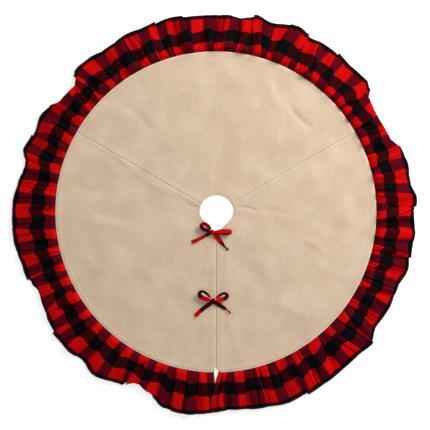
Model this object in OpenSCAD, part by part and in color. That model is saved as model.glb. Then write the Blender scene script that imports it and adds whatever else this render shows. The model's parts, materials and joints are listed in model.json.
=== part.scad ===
// Round tree skirt. Three burlap gores are sewn to each other and to a lining,
// a gathered check ruffle runs round the rim, and two ribbon bows close the front slit.
// Frame: millimetres, +Z up, floor at z = 0, origin at the centre of the trunk hole,
// slit towards -Y. The two front quarters fold up and back about the X axis.

/* [Skirt] */
// Radius of the burlap disc, out to the ruffle seam
disc_r = 485; // [460:1:500]
// Radius of the trunk hole
hole_r = 50; // [45:1:55]
// Width of the slit between the two front flaps
slit_w = 3; // [2.4:0.2:4]
// Angle of the two gore seams, up from the fold line
seam_angle = 30; // [20:1:45]

/* [Cloth] */
// Thickness of the lining
lining_t = 0.8; // [0.6:0.1:1]
// Thickness of the turned-under cloth between lining and burlap
turned_t = 0.8; // [0.6:0.1:1]
// Thickness of the burlap
burlap_t = 1.2; // [0.8:0.1:1.4]
// Width of the turned-under hems beside the slit
hem_w = 18; // [14:1:22]
// Width of the facing round the trunk hole
facing_w = 14; // [10:1:18]
// Width of each gore seam's pressed-open allowance
allowance_w = 24; // [16:1:28]

/* [Ruffle] */
// Depth of the gathered heading that is sewn in under the burlap
heading_w = 13; // [8:1:16]
// Height of a flute at its crest
crest_h = 16; // [12:0.5:17]
// Height of the ruffle between two flutes
trough_h = 8; // [6:0.5:9]
// Number of flutes all round
flutes = 44; // [30:1:50]
// Diameter of the black overlocked edge
overlock_d = 3.6; // [3:0.2:4]
// Width of the hem at each end of the ruffle
end_hem_w = 12; // [8:1:16]

/* [Ties] */
// Width of the tie ribbon
ribbon_w = 10; // [8:0.5:12]
// Thickness of the tie ribbon
ribbon_t = 1.2; // [0.8:0.1:1.4]
// Radius of a knot
knot_r = 6; // [5:0.5:6.5]
// How far the knots stand to the left of the slit's middle
knot_x = 8.5; // [8:0.5:10]
// How far the upper knot is from the centre of the hole
upper_knot_y = 60; // [58:1:70]
// How far the lower knot is from the centre of the hole
lower_knot_y = 268; // [200:1:300]

/* [Hidden] */
$fn = 120;

burlap_colour = "#d9bf98";
lining_colour = "#efe6d6";
check_colour = "#a3121a";
edge_colour = "#17171a";
thread_colour = "#c9ad83";

turned_z = lining_t;                 // underside of the turned-under layer
burlap_z = turned_z + turned_t;      // underside of the burlap
top_z = burlap_z + burlap_t;         // upper face of the burlap
fold_gap = 0.4;                      // between the rear half and a front flap
slit_x = slit_w / 2;
thread_r = 0.25;
rim_stitch_r = disc_r - 5;
hole_stitch_r = hole_r + 6;
fold_z = 12;                         // height of the fold line that the front flaps turn on
fold_slope = 0.045;                  // how fast the ruffle may rise away from the fold line
ruffle_gap = 0.3;                    // between the burlap's edge and the ruffle's body
ruffle_seam_z = top_z + 0.8;         // top of the ruffle where it comes out from under the burlap
overlock_gap = 0.6;                  // between the ruffle's edge and the overlocked cord
seam_turn = 0.01;                    // degrees between a gore's edge and the middle of its seam
slit_turn = 0.25;                    // degrees from the slit's middle to a ruffle end
end_hem_turn = end_hem_w / disc_r * 180 / PI;
tie_x = 12;                          // how far from the slit's middle a tie is sewn down
tie_clear = 0.5;                     // between the knot and a right tie, either side of the slit
ribbon_z = top_z + 2 * thread_r + 0.3; // a tail's underside where it lies over the burlap
over_tie_z = top_z + ribbon_t + 0.6; // a tail's underside where it leaves the knot, over a tie
loop_z = over_tie_z + ribbon_t + 0.4; // a loop's lower edge, over the tails

// Reach of the ruffle's wavy edge: angle from +X, then distance from the centre
edge_reach = [
    [0, 598], [4, 607], [9, 594], [14, 600], [19, 591], [23, 573], [31, 569], [37, 578],
    [41, 605], [50, 601], [56, 605], [62, 600], [66, 613], [74, 596], [78, 605], [82, 589],
    [90, 596], [96, 593], [103, 605], [110, 597], [117, 603], [123, 593], [130, 604],
    [134, 603], [138, 574], [143, 578], [151, 605], [157, 597], [162, 612], [166, 590],
    [171, 604], [178, 615], [188, 617], [198, 604], [204, 587], [210, 592], [214, 606],
    [223, 613], [228, 603], [233, 617], [240, 598], [245, 568], [250, 584], [255, 613],
    [261, 618], [270, 606], [275, 599], [284, 609], [291, 618], [297, 612], [303, 615],
    [313, 610], [320, 614], [324, 597], [331, 600], [337, 594], [343, 607], [348, 600],
    [354, 606], [360, 598]];

function ease(s) = s * s * (3 - 2 * s);
function reach(a) =
    let (i = max([for (k = [0:len(edge_reach) - 2]) if (edge_reach[k][0] <= a) k]),
         p = edge_reach[i], q = edge_reach[i + 1])
    p[1] + (q[1] - p[1]) * ease((a - p[0]) / (q[0] - p[0]));
function flute(a) = 0.5 + 0.5 * sin(flutes * a + 50 * sin(3 * a));
function flute_h(a) =
    min(trough_h + (crest_h - trough_h) * flute(a), fold_z - 0.7 + fold_slope * disc_r * abs(sin(a)));
function polar(r, a, z) = [r * cos(a), r * sin(a), z];

// The ruffle's outline at one angle: flat underside, domed top, lowest at the seam and the edge
function ruffle_outline(a) =
    let (r0 = disc_r + ruffle_gap, r1 = reach(a), h = flute_h(a))
    [[r0, 0], [r1, 0], [r1, 3.5], [r1 - 12, 0.6 * h], [r1 - 40, h],
     [r0 + 35, 0.9 * h], [r0 + 12, 0.6 * h], [r0, ruffle_seam_z]];

// A solid swept through rings of points, with its two ends closed
module swept(rings) {
    n = len(rings[0]);
    last = (len(rings) - 1) * n;
    polyhedron(
        points = [for (ring = rings) each ring],
        faces = concat(
            [[for (k = [n - 1:-1:0]) k]],
            [[for (k = [0:n - 1]) last + k]],
            [for (i = [0:len(rings) - 2], k = [0:n - 1])
                let (a = i * n + k, b = i * n + (k + 1) % n) each [[a, b, a + n], [b, b + n, a + n]]]),
        convexity = 8);
}

// A flat ring of cloth between two radii and two angles
module cloth_sector(r0, r1, a0, a1, z, t) {
    rotate([0, 0, a0])
        rotate_extrude(angle = a1 - a0)
            translate([r0, z])
                square([r1 - r0, t]);
}

// Keeps what lies in the left front quarter, clear of the fold line and the slit
module left_quarter() {
    intersection() {
        children();
        translate([-700, -700, -1])
            cube([700 - slit_x, 700 - fold_gap / 2, 40]);
    }
}

// Keeps what lies behind the fold line
module rear_half() {
    intersection() {
        children();
        translate([-700, fold_gap / 2, -1])
            cube([1400, 700, 40]);
    }
}

module right_side() {
    mirror([1, 0, 0])
        children();
}

// Burlap
module rear_gore() {
    color(burlap_colour)
        cloth_sector(hole_r, disc_r, seam_angle + seam_turn, 180 - seam_angle - seam_turn,
            burlap_z, burlap_t);
}

module side_gore_rear() {
    color(burlap_colour)
        rear_half()
            cloth_sector(hole_r, disc_r, 180 - seam_angle + seam_turn, 181, burlap_z, burlap_t);
}

module side_gore_front() {
    color(burlap_colour)
        left_quarter()
            cloth_sector(hole_r, disc_r, 179, 271, burlap_z, burlap_t);
}

// The allowances of two gores, pressed open on both sides of their seam
module gore_seam() {
    length = disc_r - heading_w - hole_r - facing_w - 1;
    color(burlap_colour)
        rotate([0, 0, 180 - seam_angle])
            for (side = [0, 1])
                mirror([0, side, 0])
                    translate([hole_r + facing_w + 0.5, 0.1, turned_z])
                        cube([length, allowance_w / 2, turned_t]);
}

module rear_hole_facing() {
    color(burlap_colour)
        rear_half()
            cloth_sector(hole_r, hole_r + facing_w, -1, 181, turned_z, turned_t);
}

module front_hole_facing() {
    color(burlap_colour)
        left_quarter()
            cloth_sector(hole_r, hole_r + facing_w, 179, 271, turned_z, turned_t);
}

module slit_hem() {
    y0 = hole_r + facing_w + 0.5;
    color(burlap_colour)
        translate([-slit_x - hem_w, -(disc_r - heading_w - 1), turned_z])
            cube([hem_w, disc_r - heading_w - 1 - y0, turned_t]);
}

// Lining
module rear_lining() {
    color(lining_colour)
        rear_half()
            cloth_sector(hole_r, disc_r, -1, 181, 0, lining_t);
}

module front_lining() {
    color(lining_colour)
        left_quarter()
            cloth_sector(hole_r, disc_r, 179, 271, 0, lining_t);
}

// Ruffle between two angles, with its gathered heading sewn in between lining and burlap
module ruffle(a0, a1) {
    steps = ceil((a1 - a0) / 1.5);
    color(check_colour) {
        swept([for (i = [0:steps])
            let (a = a0 + (a1 - a0) * i / steps)
            [for (p = ruffle_outline(a)) polar(p[0], a, p[1])]]);
        cloth_sector(disc_r - heading_w, disc_r + ruffle_gap / 2, a0, a1, turned_z, turned_t);
    }
}

// The ruffle's end, turned under and stitched, a little thicker than the ruffle beside it
module ruffle_end_hem(a0, a1) {
    color(check_colour)
        swept([for (i = [0:3])
            let (a = a0 + (a1 - a0) * i / 3, r0 = disc_r + ruffle_gap, r1 = reach(a))
            [polar(r0, a, 0), polar(r1, a, 0), polar(r1, a, 4), polar(r1 - 10, a, 7.5),
             polar(r0 + 12, a, 7.5), polar(r0, a, ruffle_seam_z)]]);
}

// Black overlocked edge, a thin round cord of thread along the ruffle's reach
module overlock(a0, a1) {
    steps = ceil((a1 - a0) / 1.5);
    radius = overlock_d / 2;
    out = overlock_gap + radius;
    up = radius + 0.3;
    color(edge_colour)
        swept([for (i = [0:steps])
            let (a = a0 + (a1 - a0) * i / steps)
            [for (k = [0:7]) polar(reach(a) + out + radius * cos(45 * k), a, up + radius * sin(45 * k))]]);
}

// A line of thread lying on the burlap along an arc
module stitched_arc(r, a0, a1) {
    color(thread_colour)
        rotate([0, 0, a0])
            rotate_extrude(angle = a1 - a0)
                translate([r, top_z + thread_r])
                    circle(r = thread_r, $fn = 16);
}

// The line of thread that holds the hem beside the slit, left out where the two ties are sewn down
module hem_stitching() {
    x = slit_x + hem_w - 2;
    color(thread_colour)
        difference() {
            translate([-x, -(rim_stitch_r - 6), top_z + thread_r])
                rotate([-90, 0, 0])
                    cylinder(r = thread_r, h = rim_stitch_r - 12 - hole_stitch_r, $fn = 16);
            for (y = [upper_knot_y, lower_knot_y])
                translate([-x - 2, -y - ribbon_w / 2 - 1, top_z - 1])
                    cube([4, ribbon_w + 2, 4]);
        }
}

// The square of stitches beside each place where a tie is sewn down
module tie_tacks() {
    color(thread_colour)
        for (y = [upper_knot_y, lower_knot_y])
            translate([-tie_x - 7, -y - ribbon_w / 2 + 1, top_z])
                cube([6.5, ribbon_w - 2, 0.5]);
}

// Ties: the left one runs in under the knot, the right one meets it across the slit
module left_tie(y) {
    color(check_colour)
        translate([-tie_x, -y - ribbon_w / 2, top_z])
            cube([tie_x - knot_x + knot_r, ribbon_w, ribbon_t]);
}

module right_tie(y) {
    color(check_colour)
        translate([-slit_x + tie_clear, -y - ribbon_w / 2, top_z])
            cube([tie_x + slit_x - tie_clear, ribbon_w, ribbon_t]);
}

// A wrapped knot, round about the upright axis that the loops and tails turn on
module knot(y) {
    color(check_colour)
        translate([-knot_x, -y, top_z + ribbon_t])
            rotate_extrude()
                polygon([[0, 0], [knot_r - 1.5, 0], [knot_r, 3], [knot_r, 7], [knot_r - 1.5, 10], [0, 11]]);
}

// Keeps the side of a right ribbon that its own flap carries
module right_of_slit() {
    intersection() {
        children();
        translate([-slit_x + tie_clear, -400, 0])
            cube([200, 400, 40]);
    }
}

// A ribbon loop standing on its edge, from the knot outwards along an angle
module loop(y, angle, length, breadth) {
    root = knot_r + 3;
    tip = length - breadth / 2;
    color(check_colour)
        translate([-knot_x, -y, loop_z])
            rotate([0, 0, angle])
                linear_extrude(height = ribbon_w - 1)
                    difference() {
                        hull() {
                            translate([root, 0])
                                circle(r = 2.2, $fn = 16);
                            translate([tip, 0])
                                circle(d = breadth, $fn = 32);
                        }
                        hull() {
                            translate([root + 2, 0])
                                circle(r = 0.9, $fn = 16);
                            translate([tip, 0])
                                circle(d = breadth - 2 * ribbon_t, $fn = 32);
                        }
                    }
}

// A ribbon tail that passes over a tie and then comes down to lie on the burlap
module tail(y, angle, length) {
    steps = 12;
    root = knot_r + 0.3;
    lift = over_tie_z - ribbon_z;
    crossed = knot_x + tie_x + 5;
    height = [for (i = [0:steps])
        let (x = root + (length - root) * i / steps)
        [x, ribbon_z + lift * (1 - ease(min(1, max(0, (x - crossed) / (length - crossed)))))]];
    color(check_colour)
        translate([-knot_x, -y, 0])
            rotate([0, 0, angle])
                translate([0, ribbon_w / 2, 0])
                    rotate([90, 0, 0])
                        linear_extrude(height = ribbon_w)
                            polygon(concat(height, [for (i = [steps:-1:0]) height[i] + [0, ribbon_t]]));
}

rear_gore();
side_gore_rear();  // left_gore_rear
right_side() side_gore_rear();  // right_gore_rear
rear_lining();
rear_hole_facing();
gore_seam();  // left_gore_seam
right_side() gore_seam();  // right_gore_seam
ruffle(90, 180 - 0.03);  // rear_left_ruffle
ruffle(0.03, 90);  // rear_right_ruffle
overlock(90, 180 - 0.03);  // rear_left_overlock
overlock(0.03, 90);  // rear_right_overlock
stitched_arc(rim_stitch_r, 0.5, 179.5);  // rear_rim_stitching
stitched_arc(hole_stitch_r, 2, 178);  // rear_hole_stitching

side_gore_front();  // left_gore_front
front_lining();  // left_lining
front_hole_facing();  // left_hole_facing
slit_hem();  // left_slit_hem
ruffle(180.03, 270 - slit_turn - end_hem_turn);  // left_ruffle
ruffle_end_hem(270 - slit_turn - end_hem_turn, 270 - slit_turn);  // left_ruffle_end_hem
overlock(180.03, 270 - slit_turn);  // left_overlock
stitched_arc(rim_stitch_r, 180.5, 269);  // left_rim_stitching
stitched_arc(hole_stitch_r, 182, 250);  // left_hole_stitching
hem_stitching();  // left_hem_stitching
tie_tacks();  // left_tie_tacks
left_tie(upper_knot_y);  // upper_left_tie
left_tie(lower_knot_y);  // lower_left_tie
knot(upper_knot_y);  // upper_knot
knot(lower_knot_y);  // lower_knot

right_side() side_gore_front();  // right_gore_front
right_side() front_lining();  // right_lining
right_side() front_hole_facing();  // right_hole_facing
right_side() slit_hem();  // right_slit_hem
ruffle(270 + slit_turn + end_hem_turn, 360 - 0.03);  // right_ruffle
ruffle_end_hem(270 + slit_turn, 270 + slit_turn + end_hem_turn);  // right_ruffle_end_hem
overlock(270 + slit_turn, 360 - 0.03);  // right_overlock
stitched_arc(rim_stitch_r, 271, 359.5);  // right_rim_stitching
stitched_arc(hole_stitch_r, 290, 358);  // right_hole_stitching
right_side() hem_stitching();  // right_hem_stitching
right_side() tie_tacks();  // right_tie_tacks
right_tie(upper_knot_y);  // upper_right_tie
right_tie(lower_knot_y);  // lower_right_tie

loop(upper_knot_y, 152, 40, 11);  // upper_left_loop
tail(upper_knot_y, 205, 71);  // upper_left_tail
right_of_slit() loop(upper_knot_y, 5, 54, 16);  // upper_right_loop
right_of_slit() tail(upper_knot_y, -49, 72);  // upper_right_tail
loop(lower_knot_y, 147, 56, 20);  // lower_left_loop
tail(lower_knot_y, 220, 70);  // lower_left_tail
right_of_slit() loop(lower_knot_y, 30, 49, 20);  // lower_right_loop
right_of_slit() tail(lower_knot_y, -35, 64);  // lower_right_tail
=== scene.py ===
"""Looks for a round tree skirt: burlap gores, a gathered buffalo-check ruffle and two ribbon bows.

Everything is in metres in the skirt's own frame: +Z up, the trunk hole at the origin and the slit towards -Y.
Cloth pieces are built flat from the frame's sizes, then lifted by one height function, so that the layers
stay on each other.
"""

import json
import math

import bpy
import numpy as np
from mathutils import Matrix, Vector


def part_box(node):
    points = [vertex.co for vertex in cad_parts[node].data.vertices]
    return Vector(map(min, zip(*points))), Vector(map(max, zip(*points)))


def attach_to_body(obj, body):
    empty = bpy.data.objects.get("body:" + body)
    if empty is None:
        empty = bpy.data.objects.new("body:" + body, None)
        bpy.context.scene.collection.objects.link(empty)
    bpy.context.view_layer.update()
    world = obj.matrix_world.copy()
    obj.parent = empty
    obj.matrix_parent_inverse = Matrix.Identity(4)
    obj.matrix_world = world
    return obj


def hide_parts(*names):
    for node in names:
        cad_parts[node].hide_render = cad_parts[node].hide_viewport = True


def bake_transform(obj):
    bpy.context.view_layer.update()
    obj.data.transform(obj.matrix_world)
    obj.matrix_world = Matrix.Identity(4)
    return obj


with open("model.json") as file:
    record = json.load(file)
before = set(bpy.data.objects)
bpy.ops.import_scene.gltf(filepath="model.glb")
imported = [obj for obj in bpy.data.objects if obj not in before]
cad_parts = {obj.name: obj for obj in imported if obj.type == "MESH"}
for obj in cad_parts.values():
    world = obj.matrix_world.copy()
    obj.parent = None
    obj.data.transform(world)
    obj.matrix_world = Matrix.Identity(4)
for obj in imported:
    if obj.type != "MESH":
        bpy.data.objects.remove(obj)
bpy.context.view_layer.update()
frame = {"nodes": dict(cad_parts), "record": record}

MM = 0.001
REAR, LEFT, RIGHT = "rear_half", "left_flap", "right_flap"


# ---------------------------------------------------------------- sizes, from the frame

def mesh_points(mesh):
    """A mesh's vertices, as an array of points."""
    points = np.empty(len(mesh.vertices) * 3)
    mesh.vertices.foreach_get("co", points)
    return points.reshape(-1, 3)


HOLE_R = next(m for m in frame["record"]["mounts"] if m["name"] == "trunk_hole")["dims"]["r_mm"] * MM
DISC_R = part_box("rear_gore")[1][1]
SLIT = -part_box("left_gore_front")[1][0]          # half the slit's width
BURLAP_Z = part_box("rear_gore")[0][2]             # the burlap's underside
BURLAP_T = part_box("rear_gore")[1][2] - BURLAP_Z
TURNED_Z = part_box("left_slit_hem")[0][2]         # the turned-under layer's underside
TURNED_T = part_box("left_slit_hem")[1][2] - TURNED_Z
LINING_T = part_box("rear_lining")[1][2]
HEM_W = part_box("left_slit_hem")[1][0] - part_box("left_slit_hem")[0][0]
FACING_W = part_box("rear_hole_facing")[1][1] - HOLE_R
RIM_STITCH_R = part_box("rear_rim_stitching")[1][1]
HOLE_STITCH_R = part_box("rear_hole_stitching")[1][1]
SEAM_ANGLE = math.degrees(math.atan2(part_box("right_gore_rear")[1][1], DISC_R * math.cos(math.radians(30))))

CHECK = 39 * MM          # one square of the ruffle's buffalo check
RIBBON_SQUARE = 45 * MM  # one square along the ribbons

# The skirt's three panels: name, the CAD's word for it, first and last angle in degrees, and body
PANELS = (("right", "right", -90, SEAM_ANGLE, RIGHT), ("back", "rear", SEAM_ANGLE, 180 - SEAM_ANGLE, REAR),
          ("left", "left", 180 - SEAM_ANGLE, 270, LEFT))


def smooth(x):
    """Rises smoothly from 0 to 1 as x goes from 0 to 1."""
    x = np.clip(x, 0, 1)
    return x * x * (3 - 2 * x)


# ---------------------------------------------------------------- how the cloth lies

# Soft creases in the burlap: one end, the other end, height (below 0 for a valley) and width, in
# millimetres
CREASES = [
    ((56, 12), (132, 1), -1.5, 4.5), ((120, 3), (235, -14), -0.9, 9), ((-52, 14), (-92, 26), -1.2, 6),
    ((-230, -14), (-400, 6), -1.3, 15), ((-420, -60), (-280, -30), 1.2, 18),
    ((-300, 60), (-450, 90), -1.1, 16), ((-120, -150), (-260, -330), 1.1, 22),
    ((-60, 40), (-330, 190), 0.9, 9), ((-300, 330), (-180, 230), -1.2, 12),
    ((90, -110), (230, -330), 1.0, 26), ((250, -80), (340, -130), 1.3, 12),
    ((150, -280), (300, -330), 1.2, 16), ((120, 300), (205, 420), -1.4, 13),
    ((205, 300), (150, 420), 1.2, 14), ((300, 250), (215, 330), -1.5, 9),
    ((190, 180), (215, 320), 1.0, 12), ((60, 120), (120, 330), 0.9, 24),
    ((-90, 150), (-200, 380), 0.9, 22), ((250, 80), (420, 150), 1.1, 18),
    ((-20, -330), (-90, -440), 1.2, 14), ((30, -320), (70, -450), 1.1, 15),
    ((-300, -190), (-420, -120), 1.1, 20), ((-30, -70), (-34, -200), 0.9, 9),
    ((24, -90), (22, -240), 0.7, 8), ((-300, -240), (-200, -200), -1.0, 14),
    ((300, -200), (410, -230), -1.0, 16), ((-8, 70), (6, 220), 0.8, 14),
]


def ripple(x, y, size, turn):
    """A gentle irregular swell from -1 to 1, size metres from crest to crest."""
    k = 2 * math.pi / size
    c, s = math.cos(turn), math.sin(turn)
    u, v = c * x + s * y, c * y - s * x
    one_way = np.sin(k * u + 1.7 * np.sin(0.61 * k * v + turn))
    other_way = np.sin(0.83 * k * v + 1.3 * np.sin(0.47 * k * u))
    return (one_way * other_way + 0.5 * np.sin(1.9 * k * v + 2 * turn)) / 1.5


def lift(x, y):
    """How far the burlap and everything under it stands off the floor at a place."""
    z = 1.5 + 1.1 * (1 + ripple(x, y, 0.33, 0.6)) + 0.35 * (1 + ripple(x, y, 0.14, 2.1))
    for (x0, y0), (x1, y1), height, width in CREASES:
        dx, dy = (x1 - x0) * MM, (y1 - y0) * MM
        length = math.hypot(dx, dy)
        along = ((x - x0 * MM) * dx + (y - y0 * MM) * dy) / length
        across = ((y - y0 * MM) * dx - (x - x0 * MM) * dy) / length
        arch = 0.07 * length * np.sin(math.pi * along / length) + 0.02 * length * np.sin(5 * along / length)
        ends = smooth(along / (0.3 * length)) * smooth((length - along) / (0.3 * length))
        z = z + 1.3 * height * ends * np.exp(-(((across - arch) / (width * MM)) ** 2))
    return np.maximum(z, 0.1) * MM


def wander(r):
    """How far a hand-fed seam strays towards the rear gore, at a distance from the centre."""
    return 0.9 * MM * np.sin(r / (27 * MM)) * np.sin(r / (71 * MM) + 1) * smooth((r - HOLE_R) / (30 * MM))


def seam_distance(x, y):
    """How far a place is from the nearer gore seam, along the cloth."""
    a = math.radians(SEAM_ANGLE)
    across = np.abs(y * math.cos(a) - np.abs(x) * math.sin(a) - wander(np.hypot(x, y)))
    return np.where(np.abs(x) * math.cos(a) + y * math.sin(a) > 0, across, 1.0)


def hole_reach(angle):
    """The trunk hole's radius: a little to the right, and drawn out to a soft point where the slit starts."""
    def bump(centre, width):
        turned = (np.degrees(angle) - centre + 180) % 360 - 180
        return np.exp(-((turned / width) ** 2))
    return HOLE_R + (2.5 * np.cos(angle - 0.2) + 10.5 * bump(-92, 19) - 5.0 * bump(-136, 26)
                     - 5.0 * bump(-46, 24) + 1.2 * bump(12, 14)) * MM


# ---------------------------------------------------------------- meshes

def placed(name, data):
    """An object that holds some data, in the scene."""
    made = bpy.data.objects.new(name, data)
    bpy.context.collection.objects.link(made)
    return made


def unit(vectors):
    """Vectors at unit length."""
    return vectors / np.linalg.norm(vectors, axis=1, keepdims=True)


def run(line):
    """How far along a line of points each of them is."""
    return np.concatenate([[0], np.cumsum(np.linalg.norm(np.diff(line, axis=0), axis=1))])


def new_object(name, vertices, faces, uvs, material):
    """A smooth-shaded mesh object with one material and one UV for each vertex, in metres."""
    mesh = bpy.data.meshes.new(name)
    mesh.from_pydata([tuple(v) for v in vertices], [], faces)
    layer = mesh.uv_layers.new(name="cloth")
    loops = np.empty(len(mesh.loops), dtype=np.int32)
    mesh.loops.foreach_get("vertex_index", loops)
    layer.data.foreach_set("uv", np.asarray(uvs, dtype=np.float32)[loops].ravel())
    mesh.materials.append(material)
    mesh.shade_smooth()
    return placed(name, mesh)


def grid_faces(rows, columns, first=0, flip=False):
    """The quads of a grid whose vertices run row by row."""
    faces = []
    for i in range(rows - 1):
        for j in range(columns - 1):
            a = first + i * columns + j
            quad = (a, a + 1, a + columns + 1, a + columns)
            faces.append(quad[::-1] if flip else quad)
    return faces


def grid_normals(grid):
    """The unit normal at each point of a grid of points."""
    normals = np.cross(np.gradient(grid, axis=0), np.gradient(grid, axis=1))
    return normals / np.maximum(np.linalg.norm(normals, axis=2, keepdims=True), 1e-12)


def cloth(name, top, uv, thickness, material):
    """A closed piece of cloth under a grid of points, whose normals point up."""
    rows, columns = top.shape[:2]
    under = top - thickness * grid_normals(top)
    count = rows * columns
    rim = ([i * columns for i in range(rows)]
           + [(rows - 1) * columns + j for j in range(1, columns)]
           + [i * columns + columns - 1 for i in range(rows - 2, -1, -1)]
           + [j for j in range(columns - 2, 0, -1)])
    sides = [(a, b, b + count, a + count) for a, b in zip(rim, rim[1:] + rim[:1])]
    faces = grid_faces(rows, columns) + grid_faces(rows, columns, count, flip=True)
    faces += [side[::-1] for side in sides]
    points = np.vstack([top.reshape(-1, 3), under.reshape(-1, 3)])
    uvs = np.vstack([uv.reshape(-1, 2)] * 2)
    piece = new_object(name, points, faces, uvs, material)
    piece.data.set_sharp_from_angle(angle=math.radians(50))
    return piece


def tube(name, rings, uvs, material, flip=False):
    """A closed tube through rings of points, with a UV for each point of a ring."""
    count, n = rings.shape[:2]
    faces = [(i * n + k, i * n + (k + 1) % n, (i + 1) * n + (k + 1) % n, (i + 1) * n + k)
             for i in range(count - 1) for k in range(n)]
    if flip:
        faces = [quad[:1] + quad[:0:-1] for quad in faces]
    caps = [tuple(range(n))[::-1], tuple((count - 1) * n + k for k in range(n))]
    faces += [cap[::-1] for cap in caps] if flip else caps
    return new_object(name, rings.reshape(-1, 3), faces, np.stack(uvs, axis=1).reshape(-1, 2), material)


def spread(low, high, step, near=()):
    """Places from low to high, about step apart, with more of them close to both ends."""
    inside = np.linspace(low, high, max(2, int(round((high - low) / step)) + 1))
    extra = [low + d for d in near] + [high - d for d in near]
    return np.unique(np.concatenate([inside, extra]))


EDGE = (0.6 * MM, 1.3 * MM, 2.2 * MM, 3.5 * MM, 5 * MM, 7 * MM)   # rows close to a turned edge


# ---------------------------------------------------------------- materials

def linear(colour):
    """A linear RGBA colour from an sRGB hex value."""
    parts = [int(colour[i:i + 2], 16) / 255 for i in (1, 3, 5)]
    return [p / 12.92 if p <= 0.04045 else ((p + 0.055) / 1.055) ** 2.4 for p in parts] + [1]


def add(tree, kind, inputs=None, **settings):
    """Adds a node. inputs maps a socket's name or number to a value, or to the socket that feeds it."""
    made = tree.nodes.new(kind)
    for name, value in settings.items():
        setattr(made, name, value)
    for key, value in (inputs or {}).items():
        if isinstance(value, bpy.types.NodeSocket):
            tree.links.new(value, made.inputs[key])
        else:
            made.inputs[key].default_value = value
    return made


def new_material(name):
    """A material with a Principled BSDF, its tree and that shader."""
    material = bpy.data.materials.new(name)
    material.use_nodes = True
    return material, material.node_tree, material.node_tree.nodes["Principled BSDF"]


def dress(tree, shader, colour, height, strength, depth, roughness, specular=0.5, sheen=0.0):
    """Gives a shader its colour, a bump from a height, and its plain values."""
    bump = add(tree, "ShaderNodeBump", {"Height": height, "Strength": strength, "Distance": depth})
    tree.links.new(colour, shader.inputs["Base Color"])
    tree.links.new(bump.outputs[0], shader.inputs["Normal"])
    for name, value in (("Roughness", roughness), ("Specular IOR Level", specular), ("Sheen Weight", sheen)):
        shader.inputs[name].default_value = value


def sine(tree, along, step):
    """A sine of a coordinate, whose whole turn is two steps long."""
    turn = add(tree, "ShaderNodeMath", {0: along, 1: math.pi / step}, operation="MULTIPLY").outputs[0]
    return add(tree, "ShaderNodeMath", {0: turn}, operation="SINE").outputs[0]


WEAVE = 1.9 * MM         # from one burlap yarn to the next
SLUB_W, SLUB_L = 2.6 * MM, 38 * MM     # width and length of a thick or thin stretch of yarn
TWILL = 1.7 * MM         # along a yarn between the cotton's diagonals, coarser than real so that they show
LINING_THREAD = 1.2 * MM               # between the sheeting's threads, coarser than real so that they show
OVERLOCK_WRAP = 1.1 * MM               # from one turn of the overlock thread to the next


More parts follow.
